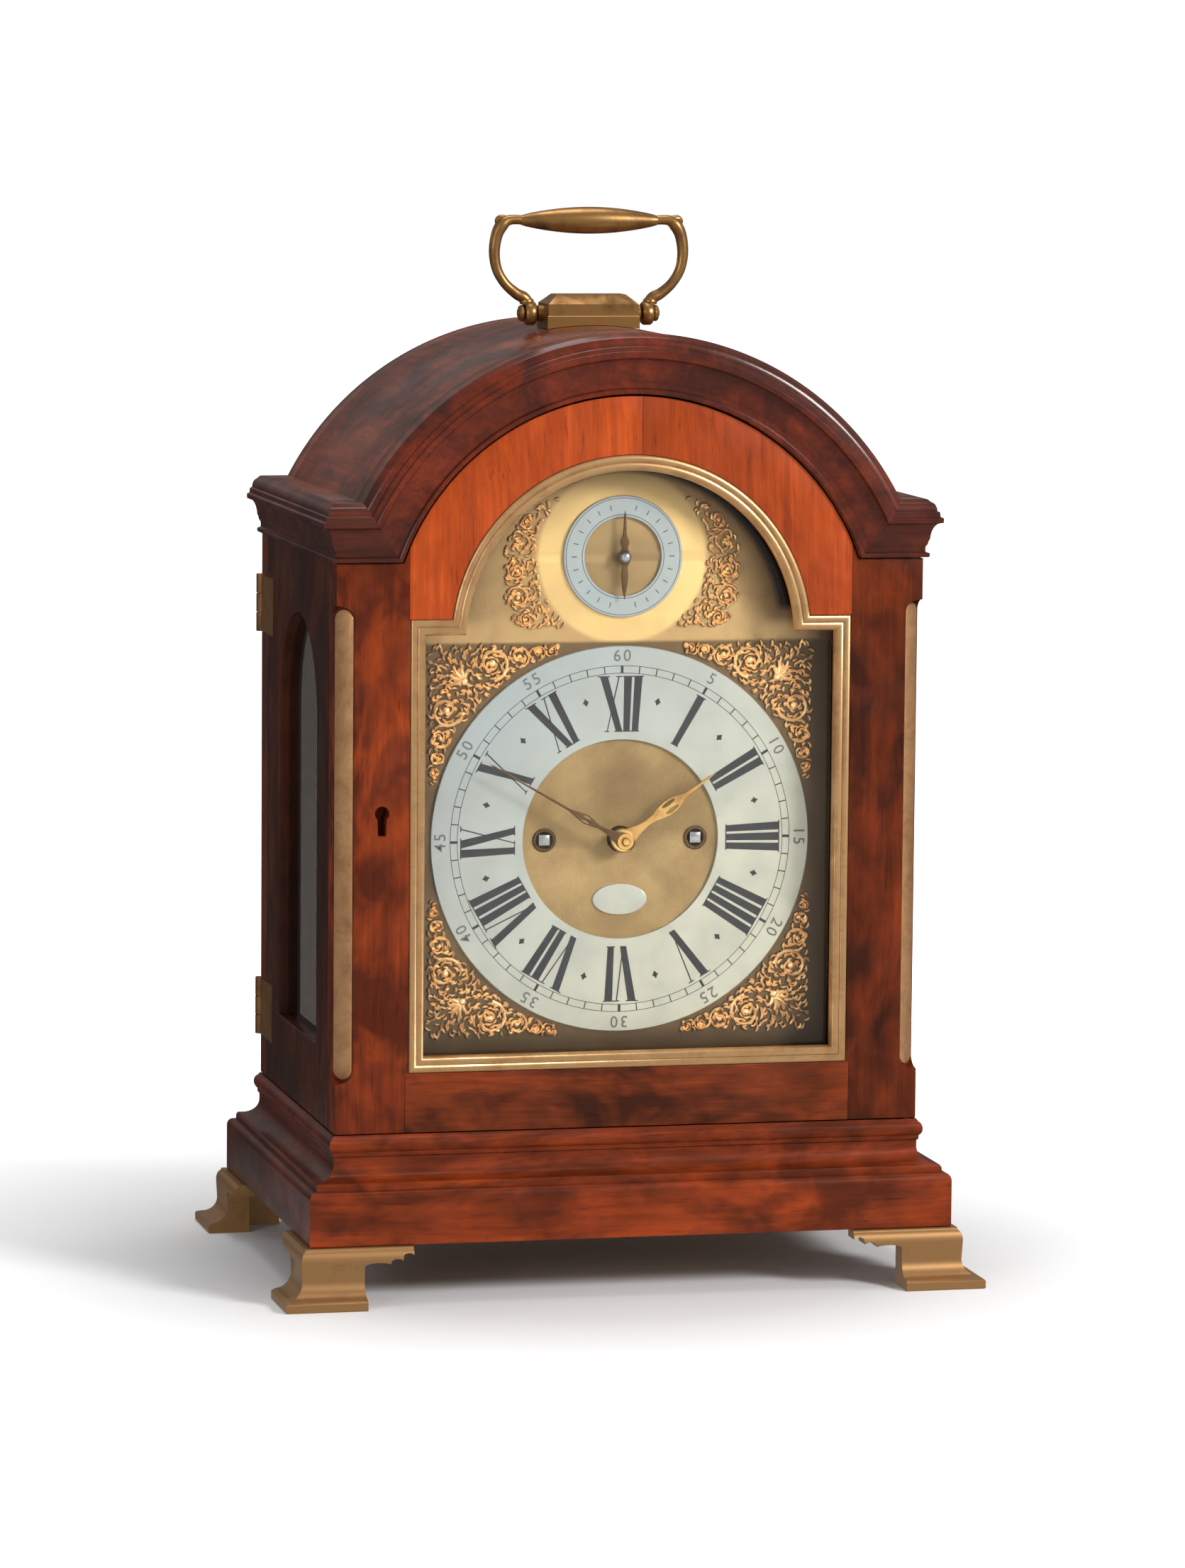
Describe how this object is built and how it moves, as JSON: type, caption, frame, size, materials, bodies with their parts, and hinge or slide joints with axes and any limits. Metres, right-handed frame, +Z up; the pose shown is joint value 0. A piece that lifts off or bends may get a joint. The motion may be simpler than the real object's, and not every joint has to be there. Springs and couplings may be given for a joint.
{
  "type": "bracket clock",
  "caption": "Break-arch bracket clock in a wooden case with glazed doors, brass feet, swinging handle, silvered dial and a spring-driven fusee movement.",
  "frame": {"origin": "on the floor under the middle of the clock", "axes": "+Z up, dial facing -Y, +X to the viewer's right"},
  "size_m": [0.2936, 0.2156, 0.4424],
  "materials": {
    "mahogany": "french polished",
    "mahogany_bright": "french polished",
    "mahogany_dark": "french polished",
    "oak": "bare",
    "cast_brass": "aged satin",
    "gilt_brass": "gilt",
    "dial_brass": "matted and lacquered",
    "movement_brass": "polished",
    "silvered": "silvered and waxed",
    "steel": "polished",
    "bell_metal": "turned",
    "glass": "clear"
  },
  "bodies": {
    "case": {"plinth": "mahogany", "base_board": "oak", "foot_front_left": "cast_brass", "foot_front_right": "cast_brass", "foot_rear_left": "cast_brass", "foot_rear_right": "cast_brass", "side_left": "mahogany_dark", "side_right": "mahogany_dark", "side_glass_left": "glass", "side_glass_right": "glass", "roof": "mahogany", "arch_moulding": "mahogany", "shoulder_moulding_left": "mahogany_dark", "shoulder_moulding_right": "mahogany_dark", "handle_pad": "cast_brass", "front_hinge_upper": "cast_brass", "front_hinge_lower": "cast_brass", "rear_hinge_upper": "cast_brass", "rear_hinge_lower": "cast_brass", "seatboard": "oak", "dial_mask": "mahogany_dark", "dial_plate": "dial_brass", "chapter_ring": "silvered", "strike_ring": "silvered", "spandrel_upper_left": "gilt_brass", "spandrel_upper_right": "gilt_brass", "spandrel_lower_left": "gilt_brass", "spandrel_lower_right": "gilt_brass", "arch_spandrel_left": "gilt_brass", "arch_spandrel_right": "gilt_brass", "dial_plaque": "silvered", "front_plate": "movement_brass", "back_plate": "movement_brass", "back_cock": "movement_brass", "bell": "bell_metal", "bell_stand": "steel"},
    "front_door": {"front_door": "mahogany_bright", "door_glass": "glass", "sight_frame": "gilt_brass", "corner_strip_left": "cast_brass", "corner_strip_right": "cast_brass", "front_lock": "cast_brass"},
    "lock_bolt": {"lock_bolt": "steel"},
    "rear_door": {"rear_door": "mahogany_dark", "rear_glass": "glass", "rear_leaf_upper": "cast_brass", "rear_leaf_lower": "cast_brass"},
    "rear_catch": {"rear_catch": "cast_brass"},
    "handle": {"handle": "cast_brass"},
    "minute_hand": {"minute_hand": "gilt_brass", "centre_wheel": "movement_brass"},
    "hour_hand": {"hour_hand": "gilt_brass"},
    "silent_hand": {"silent_hand": "gilt_brass"},
    "going_fusee": {"going_fusee": "movement_brass"},
    "going_barrel": {"going_barrel": "movement_brass"},
    "strike_fusee": {"strike_fusee": "movement_brass"},
    "strike_barrel": {"strike_barrel": "movement_brass"},
    "escape_wheel": {"escape_wheel": "movement_brass"},
    "pendulum": {"pendulum": "movement_brass"},
    "hammer": {"hammer": "steel"}
  },
  "joints": [
    {"name": "front_door_swing", "type": "hinge", "parent": "case", "child": "front_door", "pos_m": [0.1195, -0.0805, 0.18], "axis": [0, 0, 1], "range_deg": [0, 110]},
    {"name": "lock_bolt_throw", "type": "slide", "parent": "front_door", "child": "lock_bolt", "axis": [-1, 0, 0], "range_m": [0, 0.0055]},
    {"name": "rear_door_swing", "type": "hinge", "parent": "case", "child": "rear_door", "pos_m": [-0.1222, 0.0861, 0.18], "axis": [0, 0, 1], "range_deg": [0, 110]},
    {"name": "rear_catch_turn", "type": "hinge", "parent": "rear_door", "child": "rear_catch", "pos_m": [0.0985, 0.0835, 0.185], "axis": [0, 1, 0], "range_deg": [0, 90]},
    {"name": "handle_swing", "type": "hinge", "parent": "case", "child": "handle", "pos_m": [0, 0, 0.398], "axis": [1, 0, 0], "range_deg": [-85, 85]},
    {"name": "minute_hand_turn", "type": "hinge", "parent": "case", "child": "minute_hand", "pos_m": [0, -0.0742, 0.185], "axis": [0, 1, 0], "continuous": true},
    {"name": "hour_hand_turn", "type": "hinge", "parent": "case", "child": "hour_hand", "pos_m": [0, -0.0706, 0.185], "axis": [0, 1, 0], "continuous": true},
    {"name": "silent_hand_turn", "type": "hinge", "parent": "case", "child": "silent_hand", "pos_m": [0, -0.069, 0.3015], "axis": [0, 1, 0], "range_deg": [0, 180]},
    {"name": "going_winding", "type": "hinge", "parent": "case", "child": "going_fusee", "pos_m": [0.0319, 0, 0.185], "axis": [0, 1, 0], "range_deg": [0, 2520]},
    {"name": "going_barrel_turn", "type": "hinge", "parent": "case", "child": "going_barrel", "pos_m": [0.034, 0, 0.13], "axis": [0, 1, 0], "range_deg": [0, 1638]},
    {"name": "strike_winding", "type": "hinge", "parent": "case", "child": "strike_fusee", "pos_m": [-0.0319, 0, 0.185], "axis": [0, 1, 0], "range_deg": [0, 2520]},
    {"name": "strike_barrel_turn", "type": "hinge", "parent": "case", "child": "strike_barrel", "pos_m": [-0.034, 0, 0.13], "axis": [0, 1, 0], "range_deg": [0, 1638]},
    {"name": "escape_turn", "type": "hinge", "parent": "case", "child": "escape_wheel", "pos_m": [0, -0.005, 0.226], "axis": [0, 1, 0], "continuous": true},
    {"name": "pendulum_swing", "type": "hinge", "parent": "case", "child": "pendulum", "pos_m": [0, 0.0205, 0.249], "axis": [0, 1, 0], "range_deg": [-4, 4]},
    {"name": "hammer_swing", "type": "hinge", "parent": "case", "child": "hammer", "pos_m": [0.044, -0.025, 0.244], "axis": [0, 1, 0], "range_deg": [-4, 8], "stiffness_Nm_per_rad": 0.3}
  ],
  "couplings": [
    {"joint": "hour_hand_turn", "follows": "minute_hand_turn", "ratio": 0.083333},
    {"joint": "going_barrel_turn", "follows": "going_winding", "ratio": 0.65},
    {"joint": "strike_barrel_turn", "follows": "strike_winding", "ratio": 0.65}
  ]
}
